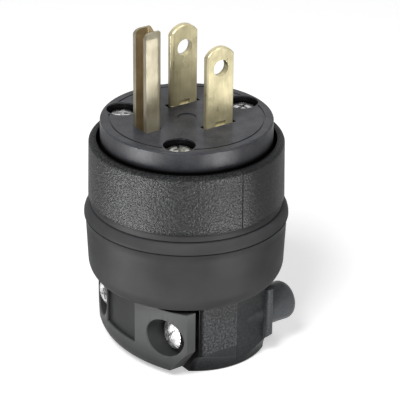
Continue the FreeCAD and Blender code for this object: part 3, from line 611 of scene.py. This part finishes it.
def face_painted_light_and_shade(finish, on_face):
    """Painted shadow at the foot of the plate's wall, in its recesses and on the walls of its fine
    lines, and painted light on its wall and more on its face.
    """
    height = along(finish, "Z")
    # Painted shadow at the foot of the plate's wall
    low, high = FACE_Z - WALL_SHADOW_LOW, FACE_Z - WALL_SHADOW_HIGH
    dim = span(finish, height, low, high, WALL_FOOT_SHADOW, 1)
    # Painted light on the wall, and more on the face
    dim = times(finish, dim, choose(finish, on_face, *FACE_PAINTED_LIGHT))
    inside = combine(finish, "LESS_THAN", from_line(finish, 0, 0), RECESS_REACH)
    drop = combine(finish, "SUBTRACT", FACE_Z, height)
    sunk = times(finish, inside, combine(finish, "GREATER_THAN", drop, RECESS_DROP))
    line_wall = times(finish, inside, near(finish, drop, LINE_WALL_MIDDLE, LINE_WALL_REACH))
    # Painted shade in the recesses and slots
    dim = times(finish, dim, choose(finish, sunk, 1, RECESS_SHADE))
    # Painted shadow on the walls of the fine lines
    return times(finish, dim, choose(finish, line_wall, 1, SHADOW_LEVEL))


def face_finish():
    """Semi-gloss face, with a rougher wall below its edge."""
    finish = new_moulding("face_plastic")
    on_face = beyond(finish, "Z", FACE_Z - FACE_SKIN)
    shade = mix(finish, noise(finish, *FACE_CLOUD), noise(finish, *FACE_GRAIN), FACE_CLOUD_SHARE)
    dim = face_painted_light_and_shade(finish, on_face)
    tint(finish, contrast(finish, shade), *SHADES["face_plastic"], dim)
    feed(finish, "Roughness", choose(finish, on_face, *FACE_ROUGHNESS))
    ripple = times(finish, noise(finish, *FACE_RIPPLE), RIPPLE_SHARE)
    wave = combine(finish, "ADD", noise(finish, *FACE_WAVE), ripple)
    bump(finish, wave, choose(finish, on_face, *FACE_WAVE_DEPTHS))
    return finish


def pin_hollow_painted_shade(finish):
    """Painted shade: brown in the hollow of the folded pin, and white elsewhere."""
    in_hollow = combine(finish, "LESS_THAN", size_of(finish, along(finish, "Y")), PIN_HOLLOW_Y)
    channels = [choose(finish, in_hollow, 1.0, share) for share in PIN_HOLLOW_SHADE]
    return add(finish, "CombineXYZ", dict(zip("XYZ", channels))).outputs[0]


def brass_finish(name, dark, light, roughness, metallic):
    """Stamped strip: faint streaks along it, clouded tarnish, edges painted darker as shade, and
    painted brown shade in the pin's hollow.
    """
    finish = new_finish(name, light, roughness, metallic=metallic)
    normal = add(finish, "NewGeometry").outputs["Normal"]
    facing = add(finish, "SeparateXYZ", {"Vector": normal}).outputs["X"]
    # Painted shade on the edges that face along X
    on_edge = span(finish, size_of(finish, facing), *EDGE_FACING, 1.0, EDGE_SHADE)
    streak = noise(finish, *BRASS_STREAK, stretch=STREAK_STRETCH)
    cloud = noise(finish, *BRASS_CLOUD)
    blend = contrast(finish, mix(finish, streak, cloud, STREAK_SHARE))
    # Painted shade on the edges and in the pin's hollow
    tint(finish, blend, dark, light, on_edge, pin_hollow_painted_shade(finish))
    ends = [roughness + change for change in BRASS_SPREAD]
    feed(finish, "Roughness", vary(finish, cloud, *ends))
    bump(finish, combine(finish, "ADD", streak, noise(finish, *BRASS_PIT)), BRASS_PIT_DEPTH)
    return finish


def plated_finish(name, dark, light, roughness):
    """Bright plating with small dents and drawing marks."""
    finish = new_finish(name, light, roughness, metallic=1.0)
    mark = noise(finish, *PLATED_MARK)
    tint(finish, contrast(finish, mark), dark, light)
    ends = [roughness + change for change in PLATED_SPREAD]
    feed(finish, "Roughness", vary(finish, mark, *ends))
    bump(finish, mark, PLATED_MARK_DEPTH)
    return finish


def carrier_finish():
    """Plain moulding of the block inside."""
    finish = new_moulding("carrier_plastic")
    tint(finish, noise(finish, *CARRIER_CLOUD), *SHADES["carrier_plastic"])
    bump(finish, noise(finish, *CARRIER_GRAIN), CARRIER_GRAIN_DEPTH)
    return finish


def make_finishes():
    finishes = {
        "housing_plastic": housing_finish(),
        "sleeve_rubber": sleeve_finish(),
        "strap_plastic": strap_finish(),
        "face_plastic": face_finish(),
        "carrier_plastic": carrier_finish(),
    }
    for name, looks in BRASSES.items():
        finishes[name] = brass_finish(name, *looks)
    for name, looks in PLATINGS.items():
        finishes[name] = plated_finish(name, *looks)
    return finishes


# Pieces

def edged_copy(node, name, edge, finish):
    """A node's own shape with its sharp edges rounded off."""
    mesh = NODES[node].data.copy()
    piece = bpy.data.objects.new(name, mesh)
    bpy.context.scene.collection.objects.link(piece)
    make_active(piece)
    if mesh.has_custom_normals:
        bpy.ops.mesh.customdata_custom_splitnormals_clear()
    bpy.ops.object.mode_set(mode="EDIT")
    bpy.ops.mesh.select_all(action="SELECT")
    bpy.ops.mesh.remove_doubles(threshold=MERGE_GAP)
    bpy.ops.mesh.dissolve_limited(angle_limit=FLAT_ANGLE)
    bpy.ops.object.mode_set(mode="OBJECT")
    apply_modifier(
        piece, "BEVEL", width=edge, segments=EDGE_SEGMENTS, limit_method="ANGLE",
        angle_limit=SHARP_ANGLE, use_clamp_overlap=True)
    bpy.ops.object.shade_smooth_by_angle(angle=SHARP_ANGLE)
    apply_modifier(piece, "WEIGHTED_NORMAL", mode="FACE_AREA", weight=FLAT_WEIGHT, keep_sharp=True)
    dress(piece, node, finish)


def screw_head(radius, height, rim_width, rim_drop, dome_drop):
    """Low domed head with a toothed rim, its top at the origin and its underside below."""
    bpy.ops.mesh.primitive_cylinder_add(
        vertices=2 * HEAD_TEETH, radius=radius, depth=height, location=(0, 0, -height / 2))
    piece = bpy.context.active_object
    bpy.ops.object.transform_apply(location=True, rotation=True, scale=True)
    bpy.ops.object.mode_set(mode="EDIT")
    step = math.pi / HEAD_TEETH

    def in_gap(point):
        turn = math.atan2(point.y, point.x) / step
        return round(turn) % 2 == 1

    select_where(piece, "VERT", in_gap)
    ratio = 1 - TOOTH_DEPTH / radius
    bpy.ops.transform.resize(value=(ratio, ratio, 1), center_override=(0, 0, 0))
    select_where(piece, "FACE", lambda middle, normal: normal.z > UPRIGHT)
    bpy.ops.mesh.inset(thickness=rim_width)
    bpy.ops.mesh.inset(thickness=radius * DOME_STEP)
    bpy.ops.mesh.inset(thickness=radius * DOME_STEP)
    low = -height * TOP_BAND
    for reach, drop in ((radius - rim_width * RIM_REACH, rim_drop), (radius * DOME_R, dome_drop)):
        select_where(piece, "VERT", lambda point: point.z > low and point.xy.length > reach)
        bpy.ops.transform.translate(value=(0, 0, -drop))
    return piece


def add_shank(piece, radius, height, shank_r, length):
    """Draws the shank out of the head's underside."""
    select_where(piece, "FACE", lambda middle, normal: normal.z < -UPRIGHT)
    bpy.ops.mesh.inset(thickness=radius - shank_r)
    bpy.ops.mesh.extrude_region_move(TRANSFORM_OT_translate={"value": (0, 0, -(length - height))})
    bpy.ops.object.mode_set(mode="OBJECT")


def slot_cutter(reach, width, depth, taper):
    """Bar that cuts a slot down from the origin, narrower at its foot."""
    bpy.ops.mesh.primitive_cube_add(size=1, location=(0, 0, 0))
    cutter = bpy.context.active_object
    cutter.scale = (2 * reach, width, 2 * depth)
    bpy.ops.object.transform_apply(location=True, rotation=True, scale=True)
    bpy.ops.object.mode_set(mode="EDIT")
    select_where(cutter, "FACE", lambda middle, normal: normal.z < -UPRIGHT)
    bpy.ops.transform.resize(value=(taper, taper, 1), center_override=(0, 0, 0))
    bpy.ops.object.mode_set(mode="OBJECT")
    return cutter


def cut_away(piece, cutter):
    apply_modifier(piece, "BOOLEAN", object=cutter, operation="DIFFERENCE", solver="EXACT")
    bpy.data.objects.remove(cutter)


def make_screw(name, node, finish, inward, head, shank_r, turn):
    """Screw with a toothed head, a slot and a cross, put where its node is."""
    low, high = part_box(node)
    size = high - low
    length = max(size)
    radius = min(size) / 2
    piece = screw_head(radius, *head)
    add_shank(piece, radius, head[0], shank_r, length)
    slot = slot_cutter(radius * SLOT_REACH, SLOT_WIDTH, SLOT_DEPTH, 1.0)
    cross_a = slot_cutter(CROSS_REACH, CROSS_WIDTH, CROSS_DEPTH, CROSS_TAPER)
    cross_b = slot_cutter(CROSS_REACH, CROSS_WIDTH, CROSS_DEPTH, CROSS_TAPER)
    settle(cross_b, Matrix.Rotation(math.pi / 2, 4, "Z"))
    for cutter in (slot, cross_a, cross_b):
        cut_away(piece, cutter)
    piece.name = name
    piece.data.name = name
    make_active(piece)
    bpy.ops.object.shade_smooth_by_angle(angle=SCREW_SMOOTH_ANGLE)
    centre = (low + high) / 2
    top = centre - inward * (length / 2)
    facing = (-inward).to_track_quat("Z", "Y").to_matrix().to_4x4()
    settle(piece, Matrix.Translation(top) @ facing @ Matrix.Rotation(turn, 4, "Z"))
    dress(piece, node, finish)


def make_pieces(finishes):
    blade = finishes["blade_brass"]
    edged_copy("hot_blade", "hot_blade_rounded", BLADE_EDGE, blade)
    edged_copy("neutral_blade", "neutral_blade_rounded", BLADE_EDGE, blade)
    pin = finishes["ground_brass"]
    edged_copy("ground_pin", "ground_pin_rounded", PIN_EDGE, pin)
    strap = finishes["strap_plastic"]
    edged_copy("clamp_strap", "clamp_strap_rounded", STRAP_EDGE, strap)
    zinc = finishes["zinc_steel"]
    down = Vector((0, 0, -1))
    for number, turn in FACE_SCREW_TURNS.items():
        make_screw(f"face_screw_{number}_head", f"face_screw_{number}", zinc, down,
                   FACE_HEAD, FACE_SHANK_R, math.radians(turn))
    for side, turn in CLAMP_SCREW_TURNS.items():
        make_screw(f"clamp_screw_{side}_head", f"clamp_screw_{side}", zinc, Vector((1, 0, 0)),
                   CLAMP_HEAD, CLAMP_SHANK_R, math.radians(turn))


def finish_nodes(finishes):
    """Gives every node of the frame the finish of its material slot."""
    for row in frame["record"]["subparts"]:
        node = NODES[row["node"]]
        node.data.materials.clear()
        node.data.materials.append(finishes[row["material_slot"]])


# Stage

def any_ray(material, light_path, names):
    """1 for the kinds of ray named, and 0 for the others."""
    total = light_path.outputs[names[0]]
    for name in names[1:]:
        total = combine(material, "MAXIMUM", total, light_path.outputs[name])
    return total


def make_world():
    """White world, full to seen rays and faint as a light."""
    world = bpy.data.worlds.new("studio")
    world.use_nodes = True
    bpy.context.scene.world = world
    background = world.node_tree.nodes["Background"]
    background.inputs["Color"].default_value = (1, 1, 1, 1)
    seen = any_ray(world, add(world, "LightPath"), SEEN_RAYS)
    strength = span(world, seen, 0, 1, WORLD_LEVEL, SEEN_LEVEL)
    world.node_tree.links.new(strength, background.inputs["Strength"])


def make_floor():
    """Pale floor that takes the plug's shadow, with a glow for seen rays alone."""
    bpy.ops.mesh.primitive_plane_add(size=FLOOR_SIZE, location=(0, 0, 0))
    floor = bpy.context.active_object
    floor.name = "floor"
    paper = bpy.data.materials.new("paper")
    paper.use_nodes = True
    tree = paper.node_tree
    tree.nodes.clear()
    diffuse = add(paper, "BsdfDiffuse", {"Color": FLOOR_COLOUR})
    seen = any_ray(paper, add(paper, "LightPath"), SEEN_RAYS)
    glow = add(paper, "Emission", {"Strength": times(paper, seen, FLOOR_GLOW)})
    both = add(paper, "AddShader", {0: diffuse.outputs[0], 1: glow.outputs[0]})
    add(paper, "OutputMaterial", {"Surface": both.outputs[0]})
    floor.data.materials.append(paper)


def direction(azimuth, elevation):
    """Unit vector from the plug at an angle round it and one above the floor, both in radians."""
    return Vector((
        math.sin(azimuth) * math.cos(elevation),
        -math.cos(azimuth) * math.cos(elevation),
        math.sin(elevation),
    ))


def new_lamp(name, width, height, power):
    data = bpy.data.lights.new(name, "AREA")
    data.shape = "RECTANGLE"
    data.size = width
    data.size_y = height
    data.energy = power
    lamp = bpy.data.objects.new(name, data)
    bpy.context.scene.collection.objects.link(lamp)
    return lamp


def add_lamp(name, azimuth, elevation, size, power):
    """Soft square lamp that looks at the plug's middle."""
    lamp = new_lamp(name, size, size, power)
    away = direction(math.radians(azimuth), math.radians(elevation))
    lamp.location = Vector((0, 0, LIP_Z)) + away * LAMP_DISTANCE
    lamp.rotation_mode = "QUATERNION"
    lamp.rotation_quaternion = (-away).to_track_quat("-Z", "Y")


def add_panel(name, azimuth, width, power):
    """Bright panel flat on the floor, seen only as sheen on the plug's upright walls."""
    lamp = new_lamp(name, width, PANEL_DEPTH, power)
    turn = math.radians(azimuth)
    lamp.location = direction(turn, 0) * PANEL_DISTANCE + Vector((0, 0, PANEL_LIFT))
    lamp.rotation_euler = (math.pi, 0, turn)
    lamp.visible_diffuse = False
    lamp.visible_camera = False


def make_lamps():
    for lamp in LAMPS:
        add_lamp(*lamp)
    for panel in PANELS:
        add_panel(*panel)


def make_camera():
    """Long lens aimed below the face's centre, with a slight roll."""
    data = bpy.data.cameras.new("camera")
    data.sensor_width = SENSOR_WIDTH
    data.lens = LENS
    camera = bpy.data.objects.new("camera", data)
    bpy.context.scene.collection.objects.link(camera)
    back = direction(CAMERA_AZIMUTH, CAMERA_ELEVATION)
    right = Vector((math.cos(CAMERA_AZIMUTH), math.sin(CAMERA_AZIMUTH), 0))
    up = back.cross(right)
    centre = Vector((0, 0, FACE_Z))
    camera.location = centre + back * CAMERA_DISTANCE
    aim = centre + right * AIM_RIGHT - up * AIM_DOWN
    look = (aim - camera.location).to_track_quat("-Z", "Y")
    camera.rotation_mode = "QUATERNION"
    camera.rotation_quaternion = look @ Quaternion((0, 0, 1), CAMERA_ROLL)
    bpy.context.scene.camera = camera


bpy.context.scene.view_settings.view_transform = "Standard"
finishes = make_finishes()
finish_nodes(finishes)
make_pieces(finishes)
make_world()
make_floor()
make_lamps()
make_camera()
